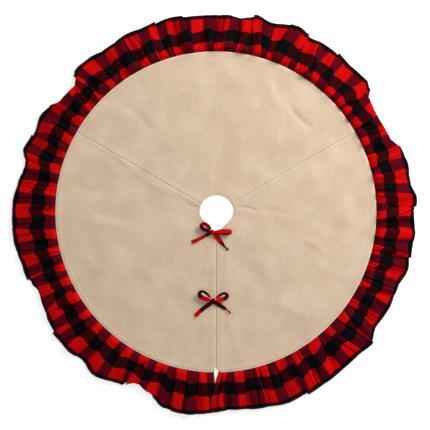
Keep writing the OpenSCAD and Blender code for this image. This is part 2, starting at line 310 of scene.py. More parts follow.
def burlap():
    """Natural burlap, a coarse plain weave of uneven yarn.

    The eye sees thick and thin slubs that run both ways, soft blotches, and dark pin holes between the yarns.
    The attribute painted_light_and_shade paints light into the colour: above 0 a painted highlight where a
    turned edge catches the light and along one side of a seam, below 0 painted shade in the ditch of a seam
    and on the turned hems in the slit.
    """
    material, tree, shader = new_material("plain_woven_burlap")
    uv = add(tree, "ShaderNodeUVMap", uv_map="cloth").outputs[0]

    def yarns(turn, pitch, length, seed):
        """Brightness streaks along one direction: yarns pitch wide whose thickness changes over length."""
        place = add(tree, "ShaderNodeMapping", {0: uv, "Rotation": (0, 0, turn), "Location": (seed, seed, 0)})
        scaled = add(tree, "ShaderNodeMapping", {0: place.outputs[0], "Scale": (1 / length, 1 / pitch, 1)})
        return add(tree, "ShaderNodeTexNoise", {"Vector": scaled.outputs[0], "Scale": 1.0, "Detail": 3.0,
                                                "Roughness": 0.6}, noise_dimensions="2D").outputs[0]

    across = yarns(0, SLUB_W, SLUB_L, 3)
    down = yarns(math.pi / 2, SLUB_W, SLUB_L, 11)
    blotch = add(tree, "ShaderNodeTexNoise", {"Vector": uv, "Scale": 13.0, "Detail": 5.0},
                 noise_dimensions="2D").outputs[0]

    # The weave itself: each yarn goes over and under the next, and none of them runs quite straight
    stray = add(tree, "ShaderNodeTexNoise", {"Vector": uv, "Scale": 17.0, "Detail": 2.0},
                noise_dimensions="2D").outputs["Color"]
    bent = add(tree, "ShaderNodeVectorMath", {0: stray, 1: (5 * MM, 5 * MM, 0), 2: uv},
               operation="MULTIPLY_ADD")
    split = add(tree, "ShaderNodeSeparateXYZ", {0: bent.outputs[0]})
    rises = [sine(tree, axis, WEAVE) for axis in split.outputs[:2]]
    over = add(tree, "ShaderNodeMath", {0: rises[0], 1: rises[1]}, operation="MULTIPLY").outputs[0]
    weave = add(tree, "ShaderNodeMath", {0: over, 1: 0.5, 2: 0.5}, operation="MULTIPLY_ADD").outputs[0]

    slubs = add(tree, "ShaderNodeMath", {0: across, 1: down}, operation="ADD").outputs[0]
    slubs = add(tree, "ShaderNodeMath", {0: slubs, 1: 0.6}, operation="MULTIPLY").outputs[0]
    tone = add(tree, "ShaderNodeMath", {0: blotch, 1: 0.9, 2: slubs}, operation="MULTIPLY_ADD").outputs[0]
    tone = add(tree, "ShaderNodeMath", {0: weave, 1: 0.18, 2: tone}, operation="MULTIPLY_ADD").outputs[0]
    ramp = add(tree, "ShaderNodeValToRGB", {0: add(tree, "ShaderNodeMapRange", {
        "Value": tone, "From Min": 0.62, "From Max": 1.67}).outputs[0]})
    ramp.color_ramp.elements[0].color = linear("#c2aa90")
    ramp.color_ramp.elements[1].color = linear("#decab1")
    middle = ramp.color_ramp.elements.new(0.5)
    middle.color = linear("#d1b99e")
    # Painted light from the attribute: towards a pale cream for painted highlights, towards a dark brown for
    # painted shade
    marked = add(tree, "ShaderNodeAttribute", attribute_name="painted_light_and_shade").outputs["Fac"]
    painted_highlight = add(tree, "ShaderNodeMapRange", {"Value": marked, "To Max": 0.8}).outputs[0]
    edge = add(tree, "ShaderNodeMix", {"Factor": painted_highlight, "A": ramp.outputs[0], "B": linear("#f0e6d2")},
               data_type="RGBA").outputs["Result"]
    painted_shade = add(tree, "ShaderNodeMapRange", {"Value": marked, "From Max": -1.0, "To Max": 0.5}).outputs[0]
    colour = add(tree, "ShaderNodeMix", {"Factor": painted_shade, "A": edge, "B": linear("#8a6f48")},
                 data_type="RGBA").outputs["Result"]
    height = add(tree, "ShaderNodeMath", {0: weave, 1: 0.55, 2: slubs}, operation="MULTIPLY_ADD").outputs[0]
    dress(tree, shader, colour, height, 0.25, 0.8 * MM, roughness=0.92, specular=0.2, sheen=0.15)
    return material


def lining_cloth():
    """Unbleached polycotton sheeting, a fine even weave that gives the eye a plain chalky surface."""
    material, tree, shader = new_material("unbleached_polycotton_lining")
    uv = add(tree, "ShaderNodeUVMap", uv_map="cloth").outputs[0]
    cloudy = add(tree, "ShaderNodeTexNoise", {"Vector": uv, "Scale": 14.0, "Detail": 5.0},
                 noise_dimensions="2D").outputs[0]
    mix = add(tree, "ShaderNodeMix", {"Factor": cloudy, "A": linear("#e2d6c0"), "B": linear("#f2eadb")},
              data_type="RGBA")
    threads = add(tree, "ShaderNodeMapping", {0: uv, "Scale": (1 / LINING_THREAD, 1 / LINING_THREAD, 1)})
    weave = add(tree, "ShaderNodeTexNoise", {"Vector": threads.outputs[0], "Scale": 1.0, "Detail": 1.0},
                noise_dimensions="2D").outputs[0]
    dress(tree, shader, mix.outputs["Result"], weave, 0.2, 0.3 * MM, roughness=0.9, specular=0.2)
    return material


def buffalo_check(name, square, bright, mixed, deep, dark):
    """Brushed cotton buffalo check, yarn-dyed and twill-woven.

    Where red crosses red it is bright, and black on black is a soft charcoal. Where red crosses black the
    two yarns alternate in fine diagonals and the eye sees maroon, deeper where the black yarn is the weft.
    Brushing blurs the squares' edges.
    """
    material, tree, shader = new_material(name)
    uv = add(tree, "ShaderNodeUVMap", uv_map="cloth").outputs[0]
    stray = add(tree, "ShaderNodeTexNoise", {"Vector": uv, "Scale": 900.0, "Detail": 1.0},
                noise_dimensions="2D").outputs["Color"]
    loose = add(tree, "ShaderNodeVectorMath", {0: stray, 1: (1.6 * MM, 1.6 * MM, 0), 2: uv},
                operation="MULTIPLY_ADD")
    split = add(tree, "ShaderNodeSeparateXYZ", {0: loose.outputs[0]})

    def stripes(axis):
        """1 on a black stripe and 0 on a red one, with a soft edge about a yarn wide."""
        soft = {"Value": sine(tree, axis, square), "From Min": -0.03, "From Max": 0.03}
        return add(tree, "ShaderNodeMapRange", soft).outputs[0]

    warp, weft = (stripes(axis) for axis in split.outputs[:2])
    plain = add(tree, "ShaderNodeSeparateXYZ", {0: uv})
    slope = add(tree, "ShaderNodeMath", {0: plain.outputs[0], 1: plain.outputs[1]},
                operation="ADD").outputs[0]
    twill = sine(tree, slope, TWILL / 2)
    grain = add(tree, "ShaderNodeMapRange", {"Value": twill, "From Min": -1.0, "From Max": 1.0}).outputs[0]
    fuzz = add(tree, "ShaderNodeTexNoise", {"Vector": uv, "Scale": 260.0, "Detail": 4.0, "Roughness": 0.7},
               noise_dimensions="2D").outputs[0]

    def shade(low, high, factor):
        """A colour that goes from low to high with factor."""
        return add(tree, "ShaderNodeMix", {"Factor": factor, "A": linear(low), "B": linear(high)},
                   data_type="RGBA").outputs["Result"]

    both = add(tree, "ShaderNodeMath", {0: warp, 1: weft}, operation="MULTIPLY").outputs[0]
    either = add(tree, "ShaderNodeMath", {0: warp, 1: weft}, operation="MAXIMUM").outputs[0]
    half = add(tree, "ShaderNodeMix", {"Factor": weft, "A": shade(*mixed, grain), "B": shade(*deep, grain)},
               data_type="RGBA").outputs["Result"]
    colour = add(tree, "ShaderNodeMix", {"Factor": either, "A": shade(*bright, fuzz), "B": half},
                 data_type="RGBA").outputs["Result"]
    colour = add(tree, "ShaderNodeMix", {"Factor": both, "A": colour, "B": shade(*dark, fuzz)},
                 data_type="RGBA").outputs["Result"]
    relief = add(tree, "ShaderNodeMath", {0: fuzz, 1: 0.8, 2: grain}, operation="MULTIPLY_ADD").outputs[0]
    dress(tree, shader, colour, relief, 0.25, 0.4 * MM, roughness=0.9, specular=0.06)
    return material


def thread(name, low, high, pitch):
    """Spun polyester sewing thread, whose fuzzy plies look lighter and darker along a stitch."""
    material, tree, shader = new_material(name)
    place = add(tree, "ShaderNodeTexCoord").outputs["Object"]
    tone = add(tree, "ShaderNodeTexNoise", {"Vector": place, "Scale": 1 / pitch, "Detail": 2.0}).outputs[0]
    mix = add(tree, "ShaderNodeMix", {"Factor": tone, "A": linear(low), "B": linear(high)}, data_type="RGBA")
    dress(tree, shader, mix.outputs["Result"], tone, 0.5, 0.3 * MM, roughness=0.6)
    return material


def overlock_thread():
    """Black overlock thread wrapped side by side over the cloth's raw edge, so the edge is a ribbed cord."""
    material, tree, shader = new_material("black_overlock_thread")
    uv = add(tree, "ShaderNodeUVMap", uv_map="cloth").outputs[0]
    along = add(tree, "ShaderNodeSeparateXYZ", {0: uv}).outputs[0]
    rib = sine(tree, along, OVERLOCK_WRAP / 2)
    grain = add(tree, "ShaderNodeMapRange", {"Value": rib, "From Min": -1.0, "From Max": 1.0}).outputs[0]
    mix = add(tree, "ShaderNodeMix", {"Factor": grain, "A": linear("#050506"), "B": linear("#101011")},
              data_type="RGBA")
    dress(tree, shader, mix.outputs["Result"], grain, 0.8, 0.5 * MM, roughness=0.7)
    return material


BURLAP = burlap()
LINING = lining_cloth()
RUFFLE_CHECK = buffalo_check("brushed_cotton_buffalo_check", CHECK, ("#a60001", "#d00507"),
                             ("#2c0007", "#6c0014"), ("#180003", "#420009"), ("#020202", "#080808"))
RIBBON_CHECK = buffalo_check("folded_cotton_ribbon_check", RIBBON_SQUARE, ("#a60001", "#cf0608"),
                             ("#34000a", "#48000e"), ("#34000a", "#48000e"), ("#0c0204", "#1c0408"))
THREAD = thread("beige_sewing_thread", "#b49a75", "#dcc9a8", 0.6 * MM)
DARK_THREAD = thread("maroon_sewing_thread", "#5a2a2a", "#97655c", 0.6 * MM)
OVERLOCK = overlock_thread()


# ---------------------------------------------------------------- burlap, lining and what is between them

def slit_half(r, corner):
    """Half the slit's width at a radius, wider where a flap's corner rounds off at the rim."""
    return SLIT + corner * smooth((r - (DISC_R - 15 * MM)) / (22 * MM)) ** 1.6 * 1.9


RIGHT_CORNER, LEFT_CORNER = 12 * MM, 7 * MM      # how much the burlap's corners are rounded off
PEEP = 1.1 * MM          # how far the turned-under cloth shows past the burlap's edge in the slit, with painted shade on it


def sector(name, inner, outer, start, end, z, thickness, material, edge_drop=0.0):
    """A sector of cloth from a hole, whose radius is a function of angle, to a radius.

    An angle of -90 or 270 degrees stands for the slit's edge. All four edges roll down by edge_drop.
    """
    radii = spread(0, 1, 5 * MM / (outer - HOLE_R), [d / (outer - HOLE_R) for d in EDGE])
    turns = spread(0, 1, 1.0 / (end - start), [math.degrees(d / 0.3) / (end - start) for d in EDGE])
    grid = np.empty((len(turns), len(radii), 3))
    for i, turn in enumerate(turns):
        for_hole = inner(math.radians(start + (end - start) * turn))
        r = for_hole + (outer - for_hole) * radii
        first = np.full_like(r, math.radians(start))
        last = np.full_like(r, math.radians(end))
        if start == -90:
            first = first + np.arcsin(slit_half(r, RIGHT_CORNER) / r)
        else:
            first = first + wander(r) / r * (1 if start < 90 else -1)
        if end == 270:
            last = last - np.arcsin(slit_half(r, LEFT_CORNER) / r)
        else:
            last = last + wander(r) / r * (1 if end < 90 else -1)
        a = first + (last - first) * turn
        grid[i, :, 0], grid[i, :, 1] = r * np.cos(a), r * np.sin(a)
        near = np.min([r - for_hole, outer - r, (a - first) * r, (last - a) * r], axis=0)
        grid[i, :, 2] = z - edge_drop * np.maximum(0, 1 - near / (2.6 * MM)) ** 2
    grid[:, :, 2] += lift(grid[:, :, 0], grid[:, :, 1])
    return cloth(name, grid[:, ::-1], grid[:, ::-1, :2].copy(), thickness, material)


def attach(piece, body):
    """Makes a piece ride on the rear half; any other piece only has its placement put into its points."""
    if body == REAR:
        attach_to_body(piece, REAR)
    else:
        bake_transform(piece)


def burlap_puff(x, y):
    """Extra height of the burlap: over seam allowances and hems, and pressed down along its stitching."""
    r = np.hypot(x, y)
    rim = DISC_R - r
    z = 0.5 * smooth((14 * MM - seam_distance(x, y)) / (4 * MM))
    z = z + 0.5 * (y < 0) * smooth((HEM_W - np.abs(x)) / (4 * MM))
    z = z + 0.5 * smooth((FACING_W - (r - HOLE_R)) / (4 * MM)) + 0.9 * smooth((16 * MM - rim) / (6 * MM))
    for groove in (np.abs(r - RIM_STITCH_R), np.abs(r - HOLE_STITCH_R)):
        z = z - 0.45 * np.exp(-((groove / (1.5 * MM)) ** 2))
    return z * MM


def gore(name, start, end):
    """One burlap gore, its edges rolled under at its seams, the rim, the hole and the slit."""
    piece = sector(name, hole_reach, DISC_R, start, end, BURLAP_Z + BURLAP_T, BURLAP_T, BURLAP, 1.1 * MM)
    mesh = piece.data
    points = mesh_points(mesh)
    points[:, 2] += burlap_puff(points[:, 0], points[:, 1])
    mesh.vertices.foreach_set("co", points.ravel())
    mesh.update()
    x, y = points[:, 0], points[:, 1]
    r = np.hypot(x, y)
    from_seam = seam_distance(x, y)
    inside = r < DISC_R - 5 * MM
    # Painted light in the burlap's colour: a painted highlight along the rim where its rolled edge catches
    # the light, painted shade in the ditch of each seam, uneven along it, and a painted highlight just beside
    # it
    pale = np.exp(-(((DISC_R - r) / (2.6 * MM)) ** 2))
    uneven = 0.72 + 0.28 * np.sin(r / (8 * MM) + 2 * np.sin(r / (31 * MM)))
    ditch = uneven * np.exp(-((from_seam / (1.2 * MM)) ** 2)) * inside
    beside = 0.3 * np.exp(-(((from_seam - 3.4 * MM) / (1.3 * MM)) ** 2)) * inside
    painted_light_and_shade = mesh.attributes.new("painted_light_and_shade", "FLOAT", "POINT")
    painted_light_and_shade.data.foreach_set("value", pale + beside - ditch)
    return piece


for side, cad, start, end, body in PANELS:
    piece = gore(f"{side}_burlap_gore", start, end)
    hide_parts(*(["rear_gore"] if body == REAR else [f"{cad}_gore_front", f"{cad}_gore_rear"]))
    attach(piece, body)


def lining_hole(angle):
    """The lining's hole, a little wider than the burlap's, so that its edge stays hidden."""
    return hole_reach(angle) + 1.5 * MM


for side, cad, start, end, body in PANELS:
    piece = sector(f"{side}_lining_panel", lining_hole, DISC_R, start, end, LINING_T, LINING_T, LINING)
    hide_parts(f"{cad}_lining")
    attach(piece, body)

# The turned-under cloth round the trunk hole
for side, cad, start, end, body in PANELS:
    piece = sector(f"{side}_hole_turning", lining_hole, HOLE_R + FACING_W, start, end, TURNED_Z + TURNED_T,
                   TURNED_T, BURLAP)
    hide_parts(f"{cad}_hole_facing")
    attach(piece, body)


def band(name, corner, along, across, length, width, shade, body, *nodes):
    """A straight strip of turned-under burlap from a corner. shade is its value of the attribute
    painted_light_and_shade, painted shade where it is below 0.
    """
    u = spread(0, length, 6 * MM)
    v = spread(0, width, 3 * MM)
    grid = np.empty((len(u), len(v), 3))
    for k in (0, 1):
        grid[:, :, k] = corner[k] + along[k] * u[:, None] + across[k] * v[None, :]
    grid[:, :, 2] = TURNED_Z + TURNED_T + lift(grid[:, :, 0], grid[:, :, 1])
    if grid_normals(grid)[0, 0, 2] < 0:
        grid = grid[:, ::-1]
    piece = cloth(name, grid, grid[:, :, :2].copy(), TURNED_T, BURLAP)
    painted_light_and_shade = piece.data.attributes.new("painted_light_and_shade", "FLOAT", "POINT")
    painted_light_and_shade.data.foreach_set("value", [shade] * len(piece.data.vertices))
    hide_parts(*nodes)
    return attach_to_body(piece, body)


HEM_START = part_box("left_slit_hem")[1][1]
HEM_LENGTH = HEM_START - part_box("left_slit_hem")[0][1]
# The slit's turned hems carry painted shade (-0.9), so that the slit between the flaps reads as a dark
# shadowed line
for side, sign, body in (("left", -1, LEFT), ("right", 1, RIGHT)):
    band(f"{side}_slit_turning", (sign * (SLIT - PEEP), HEM_START), (0, -1), (sign, 0), HEM_LENGTH, HEM_W,
         -0.9, body, f"{side}_slit_hem")
ALLOWANCE_W = 12 * MM    # one pressed-open side of a seam
for side, angle in (("right", SEAM_ANGLE), ("left", 180 - SEAM_ANGLE)):
    out = (math.cos(math.radians(angle)), math.sin(math.radians(angle)))
    for name, turn in (("lower", 1), ("upper", -1)):
        across = (turn * out[1], -turn * out[0])
        inner = HOLE_R + FACING_W + 1 * MM
        corner = (out[0] * inner + across[0] * 0.1 * MM, out[1] * inner + across[1] * 0.1 * MM)
        band(f"{side}_seam_allowance_{name}", corner, out, across, DISC_R - 14 * MM - inner, ALLOWANCE_W, 0.0,
             REAR, f"{side}_gore_seam")


# ---------------------------------------------------------------- ruffle

STRIP = 4353 * MM        # cut length of the gathered strip, 56 repeats of the check less its end hems
DROP = 118 * MM          # how far it shows beyond the burlap when it lies flat
TUCK = 12 * MM           # heading sewn in under the burlap
EDGE_R = 596 * MM        # mean reach of its edge, where the folds are measured
CURL_R = 5 * MM          # radius of the edge where it curls under
FIRST_CHECK = 42 * MM    # where the strip is cut on the check, along it
FIRST_ROW = 48 * MM      # and across it
END_HEM = 9 * MM         # narrow hems at the strip's two ends
TALL = 13 * MM           # above this height the pleats slump

# Flat folds of the ruffle, in order round the skirt: angle, which side lies on top (1 for the
# side further round) and overlap in millimetres
FOLDS = [
    (-63, 1, 9), (-40, -1, 18), (-13, 1, 12), (2.5, 1, 26), (39, 1, 44), (52, -1, 10), (63, 1, 24),
    (78, -1, 26), (108, 1, 10), (135, -1, 34), (158, 1, 22), (199, -1, 26), (217, 1, 16), (243, 1, 16),
]

outline = np.vstack([mesh_points(frame["nodes"][f"{part}_ruffle"].data)
                     for part in ("rear_left", "rear_right", "left", "right")])
outline = outline[(outline[:, 2] < 0.2 * MM) & (np.hypot(outline[:, 0], outline[:, 1]) > DISC_R + 40 * MM)]
outline_angle = np.degrees(np.arctan2(outline[:, 1], outline[:, 0])) % 360
outline_order = np.argsort(outline_angle)


def reach(degrees):
    """How far the ruffle's edge is from the centre at an angle, from the frame."""
    return np.interp(np.asarray(degrees) % 360, outline_angle[outline_order],
                     np.hypot(outline[:, 0], outline[:, 1])[outline_order], period=360)


def strip_path():
    """Where the strip's edge runs: length and angle in degrees, then length and level (0 below, 2 on top)."""
    per_mm = math.degrees(MM / EDGE_R)
    total = sum(w for _, _, w in FOLDS)
    forward = 360 / per_mm + total
    rate = forward / (STRIP / MM - total)
    s, a = [0.0], [-90.0]
    level_s, level = [0.0], [0.0]
    for angle, top, overlap in FOLDS:
        turn = angle + overlap * per_mm / 2
        s.append(s[-1] + (turn - a[-1]) / per_mm / rate)
        a.append(turn)
        level_s += [s[-1] - 55, s[-1] - 3, s[-1] + 3] if top < 0 else [s[-1] - 3, s[-1] + 3]
        level += [0, 2, 2] if top < 0 else [0, 0]
        s.append(s[-1] + overlap)
        a.append(angle - overlap * per_mm / 2)
        level_s += [s[-1] - 3, s[-1] + 3] if top < 0 else [s[-1] - 3, s[-1] + 3, s[-1] + 55]
        level += [0, 0] if top < 0 else [2, 2, 0]
    s.append(STRIP / MM)
    a.append(270.0)
    level_s.append(STRIP / MM)
    level.append(0.0)
    return np.array(s), np.array(a), np.array(level_s), np.array(level)


def blurred(values, width):
    """values averaged over a width along the strip, the ends kept."""
    count = max(2, int(width / STEP))
    kernel = np.hanning(count + 2)[1:-1]
    padded = np.concatenate([2 * values[0] - values[count:0:-1], values,
                             2 * values[-1] - values[-2:-count - 2:-1]])
    return np.convolve(padded, kernel / kernel.sum(), mode="same")[count:-count]


ROWS = 2700              # rows of the ruffle's mesh along the strip
STEP = STRIP / ROWS
strip_s = np.linspace(0, STRIP, ROWS + 1)
path_s, path_a, level_s, level_z = strip_path()
outer_a = blurred(np.interp(strip_s / MM, path_s, path_a), 21 * MM)
inner_a = blurred(np.interp(strip_s / MM, path_s, path_a), 400 * MM)
layer = blurred(np.interp(strip_s / MM, level_s, level_z), 26 * MM)
fold_middle = (path_s[1:-1:2] + path_s[2:-1:2]) / 2
fold_half = (path_s[2:-1:2] - path_s[1:-1:2]) / 2 + 22
near_fold = np.exp(-(((strip_s[:, None] / MM - fold_middle) / fold_half) ** 4)).max(axis=1)

drops = np.concatenate([[-TUCK, -5 * MM, -1 * MM], np.arange(1 * MM, DROP - 28 * MM, 4.5 * MM),
                        np.linspace(DROP - 27 * MM, DROP, 10)])
shown = np.clip(drops / DROP, 0, 1)


def gathers():
    """The gathers at the seam, at each place along the strip: their turn, how far a crest spills over its
    valley and to which side, and its height, length and slant.
    """
    rng = np.random.RandomState(23)
    places = [0.0]
    while places[-1] < STRIP:
        places.append(places[-1] + rng.uniform(16, 52) * MM)
    count = len(places)
    size = np.diff(places + [places[-1] + 30 * MM])
    spill = size * rng.uniform(0.10, 0.24, count)
    side = rng.uniform(-1.1, 1.1, count)
    height = size * rng.uniform(0.21, 0.42, count)
    length = np.where(rng.rand(count) < 0.3, rng.uniform(90, 200, count), rng.uniform(36, 84, count)) * MM
    slant = rng.uniform(-0.45, 0.45, count)
    return [np.interp(strip_s, places, values) for values in
            (np.arange(count), spill, side, height, length, slant)]


turn_of, spill_of, side_of, height_of, length_of, slant_of = gathers()
# The lower left is gathered most
fuller = 1 + 0.5 * smooth((-np.sin(np.radians(inner_a + 25)) + 0.2) / 0.8)


def crumples(drop):
    """Small uneven puckers close to the seam: how far they move the cloth aside and lift it."""
    s = strip_s / MM
    turn = s * 0.52 + 2.1 * np.sin(s * 0.031) + 1.3 * np.sin(s * 0.083 + 1) + 0.04 * drop / MM
    bunched = (0.5 + 0.5 * np.sin(s * 0.017 + 2 + 1.4 * np.sin(s * 0.0071))) ** 1.5
    size = (0.2 + 0.8 * bunched) * np.exp(-((max(drop, 0) / (32 * MM)) ** 2))
    return 2.6 * MM * size * np.cos(turn), 3.6 * MM * size * (0.5 + 0.5 * np.sin(turn + 0.6))


def buckle(drop, v):
    """How far uneven gathering pulls the cloth aside, and in or out, in its own plane."""
    s = strip_s / MM
    free = np.sin(math.pi * min(1, v)) ** 0.7
    aside = (4.2 * np.sin(s * 0.061 + 1.9 * np.sin(s * 0.011) + 2.2 * v)
             + 3.0 * np.sin(s * 0.113 + 1.5 * np.sin(s * 0.023) - 3.0 * v)) * (0.35 + 0.65 * v)
    inout = (4.6 * np.sin(s * 0.071 + 2.1 * np.sin(s * 0.013 + 1) + 1.5 * v)
             + 3.0 * np.sin(s * 0.149 + 1.2 * np.sin(s * 0.031)) * (1 - 0.5 * v))
    return aside * free * MM, inout * free * MM


def waves(a, v):
    """The ruffle's height from its broad waves at an angle in degrees and a share v of its drop."""
    t = np.radians(a)
    w = 21 * t + 1.6 * np.sin(4 * t + 0.5) + 0.9 * np.sin(11 * t + 2) + 0.7 * v * np.sin(5 * t)
    x = 34 * t + 1.8 * np.sin(5 * t + 2) - 0.6 * v
    broad = (0.5 + 0.5 * np.sin(2 * w)) * 7.0 + (0.5 + 0.5 * np.sin(2 * x)) * 4.0
    far = smooth(v / 0.35) * (1 - 0.25 * smooth((v - 0.6) / 0.4))
    return broad * far * MM


def slit_ends(drop, v):
    """How far the strip's first and last edges stand from the slit: the first leans over the last."""
    first = np.interp(drop / MM, [-12, 3, 88, 118], [10, 9, -18, -14])
    last = np.interp(drop / MM, [-12, 5, 35, 118], [-6, -5, -2, 9])
    return first * MM, last * MM


def ruffle_grid():
    """The whole ruffle's points, a row for each place along the strip and a column for each drop."""
    grid = np.empty((len(strip_s), len(drops), 3))
    edge = reach(outer_a) + (layer - 0.6) * 3 * MM
    stretch = np.clip((edge - DISC_R) / DROP, 0.93, 1.15)
    spare = np.maximum(0, DROP * stretch - (edge - DISC_R))
    curl = smooth(spare / (14 * MM))
    flat = edge - DISC_R - CURL_R * curl
    near_first = 1 - smooth(strip_s / (110 * MM))
    near_last = 1 - smooth((STRIP - strip_s) / (110 * MM))
    ends = np.minimum(strip_s, STRIP - strip_s)
    calm = 0.3 + 0.7 * smooth(ends / (45 * MM))
    for j, (drop, v) in enumerate(zip(drops, shown)):
        mix = smooth(v * 1.15)
        a = inner_a + (outer_a - inner_a) * mix
        first, last = slit_ends(drop, v)
        a = a + np.degrees((first * near_first + last * near_last) / (DISC_R + drop))
        out = max(drop, 0)
        fade = np.exp(-((out / length_of) ** 1.5)) * calm * (1 - 0.85 * near_fold * smooth((v - 0.12) / 0.3))
        turn = 2 * math.pi * turn_of + slant_of * out / (8 * MM)
        sewn = 0.55 if drop < 0 else 1.0
        aside, pucker = crumples(drop)
        pulled, inout = buckle(drop, v)
        pulled = pulled * calm * (1 - 0.6 * near_fold)
        spilled = spill_of * np.sin(turn + side_of) * fade * sewn
        a = a + np.degrees((spilled + aside + pulled) / (DISC_R + drop))
        along = drop * stretch + inout * calm
        bend = np.clip((along - flat) / CURL_R, 0, math.pi)
        back = np.maximum(0, along - flat - math.pi * CURL_R)
        over = (along > flat) & (curl > 0.02)
        r = np.where(over, flat + CURL_R * np.sin(bend) - back, np.minimum(along, edge - DISC_R)) + DISC_R
        crest = 1 - (0.5 - 0.5 * np.cos(turn)) ** 2.4
        z = 1.0 * MM + height_of * crest * fade * fuller * smooth(out / (11 * MM))
        z = z + waves(a, v) * calm * fuller + pucker * calm * smooth(out / (6 * MM))
        z = z + layer * 2.6 * MM * smooth(v * 1.6)
        z = z + 3.4 * MM * (1 - smooth(strip_s / (120 * MM))) * smooth(v / 0.25)
        z = z + 0.7 * MM * smooth((END_HEM - ends) / (2 * MM))
        z = z + curl * 2.1 * CURL_R * smooth((v - 0.25) / 0.5)
        z = z - np.where(over, CURL_R * (1 - np.cos(bend)), 0)
        z = np.where(z > TALL, TALL + TALL / 2 * np.tanh(2 * (z - TALL) / TALL), z)
        z = np.maximum(z, 0.9 * MM)
        t = np.radians(a)
        if drop < 0:
            z = np.full_like(z, TURNED_Z + TURNED_T) + 0.2 * MM * np.cos(turn)
        x, y = r * np.cos(t), r * np.sin(t)
        grid[:, j] = np.stack([x, y, z + lift(x, y) * (1 - smooth(v / 0.7))], axis=1)
    return grid


ruffle = ruffle_grid()
ruffle_uv = np.stack(np.broadcast_arrays(strip_s[:, None] + FIRST_CHECK, (drops + FIRST_ROW)[None, :]),
                     axis=2)
middle = int(np.argmin(np.abs(outer_a - 90)))


def overlock(name, line, radius):
    """A cord of thread along a line of points, with a UV that runs along it and round it, in metres."""
    sides = 8
    along = unit(np.gradient(line, axis=0))
    side = np.cross(along, np.array([0.0, 0.0, 1.0]))
    side /= np.maximum(np.linalg.norm(side, axis=1, keepdims=True), 1e-9)
    up = np.cross(side, along)
    length = run(line)
    points, uvs = [], []
    for k in range(sides):
        t = 2 * math.pi * k / sides
        points.append(line + radius * (math.cos(t) * side + math.sin(t) * up))
        uvs.append(np.stack([length, np.full_like(length, k / sides * 2 * math.pi * radius)], axis=1))
    return tube(name, np.stack(points, axis=1), uvs, OVERLOCK)


RUFFLE_T = 0.8 * MM
OVERLOCK_R = 1.5 * MM
for name, rows, body, nodes in (
        ("right_ruffle_cloth", slice(0, middle + 1), RIGHT,
         ("right_ruffle", "right_ruffle_end_hem", "rear_right_ruffle")),
        ("left_ruffle_cloth", slice(middle, None), LEFT,
         ("left_ruffle", "left_ruffle_end_hem", "rear_left_ruffle"))):
    top = ruffle[rows][:, ::-1]
    piece = cloth(name, top, ruffle_uv[rows][:, ::-1], RUFFLE_T, RUFFLE_CHECK)
    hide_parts(*nodes)
    line = ruffle[rows][:, -1].copy()
    line[:, 2] = np.maximum(line[:, 2], OVERLOCK_R)
    edge = overlock(name.replace("cloth", "overlocked_edge"), line, OVERLOCK_R)
    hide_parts(*(n.replace("ruffle", "overlock") for n in nodes if not n.endswith("hem")))
    attach(piece, body)
    attach(edge, body)


# ---------------------------------------------------------------- stitches

def stitch_tree():
    """Lays stitches end to end along a line: inputs are a stitch's pitch, length, width and material."""
    tree = bpy.data.node_groups.new("lay_stitches", "GeometryNodeTree")
    tree.interface.new_socket("Line", in_out="INPUT", socket_type="NodeSocketGeometry")
    for name in ("Pitch", "Length", "Width"):
        tree.interface.new_socket(name, in_out="INPUT", socket_type="NodeSocketFloat")
    tree.interface.new_socket("Thread", in_out="INPUT", socket_type="NodeSocketMaterial")
    tree.interface.new_socket("Stitches", in_out="OUTPUT", socket_type="NodeSocketGeometry")
    given = add(tree, "NodeGroupInput")
    curve = add(tree, "GeometryNodeMeshToCurve", {"Mesh": given.outputs["Line"]})
    places = add(tree, "GeometryNodeResampleCurve",
                 {"Curve": curve.outputs[0], "Length": given.outputs["Pitch"]}, mode="LENGTH")
    tangent = add(tree, "GeometryNodeInputTangent")
    facing_along = add(tree, "FunctionNodeAlignRotationToVector", {"Vector": tangent.outputs[0]}, axis="X")
    bead = add(tree, "GeometryNodeMeshUVSphere", {"Segments": 8, "Rings": 5, "Radius": 0.5})
    loose = add(tree, "FunctionNodeRandomValue", {"Min": 0.88, "Max": 1.06, "Seed": 7}, data_type="FLOAT")
    length = add(tree, "ShaderNodeMath", {0: given.outputs["Length"], 1: loose.outputs[1]},
                 operation="MULTIPLY")
    size = add(tree, "ShaderNodeCombineXYZ", {0: length.outputs[0], 1: given.outputs["Width"],
                                              2: given.outputs["Width"]})
    laid = add(tree, "GeometryNodeInstanceOnPoints", {
        "Points": places.outputs[0], "Instance": bead.outputs[0], "Rotation": facing_along.outputs[0],
        "Scale": size.outputs[0]})
    real = add(tree, "GeometryNodeRealizeInstances", {0: laid.outputs[0]})
    painted = add(tree, "GeometryNodeSetMaterial", {"Geometry": real.outputs[0],
                                                    "Material": given.outputs["Thread"]})
    add(tree, "NodeGroupOutput", {0: painted.outputs[0]})
    return tree


STITCHES = stitch_tree()


def stitches(name, lines, pitch, length, width, material):
    """Stitches along lines of points, as one plain mesh."""
    mesh = bpy.data.meshes.new(name)
    points, edges = [], []
    for line in lines:
        edges += [(len(points) + i, len(points) + i + 1) for i in range(len(line) - 1)]
        points += [tuple(p) for p in line]
    mesh.from_pydata(points, edges, [])
    guide = placed(name + "_line", mesh)
    layer = guide.modifiers.new("stitches", "NODES")
    layer.node_group = STITCHES
    sockets = {item.name: item.identifier for item in STITCHES.interface.items_tree if item.in_out == "INPUT"}
    for key, value in (("Pitch", pitch), ("Length", length), ("Width", width), ("Thread", material)):
        layer[sockets[key]] = value
    evaluated = guide.evaluated_get(bpy.context.evaluated_depsgraph_get())
    made = bpy.data.meshes.new_from_object(evaluated)
    guide.modifiers.remove(layer)
    bpy.data.objects.remove(guide)
    made.name = name
    made.shade_smooth()
    piece = placed(name, made)
    return piece


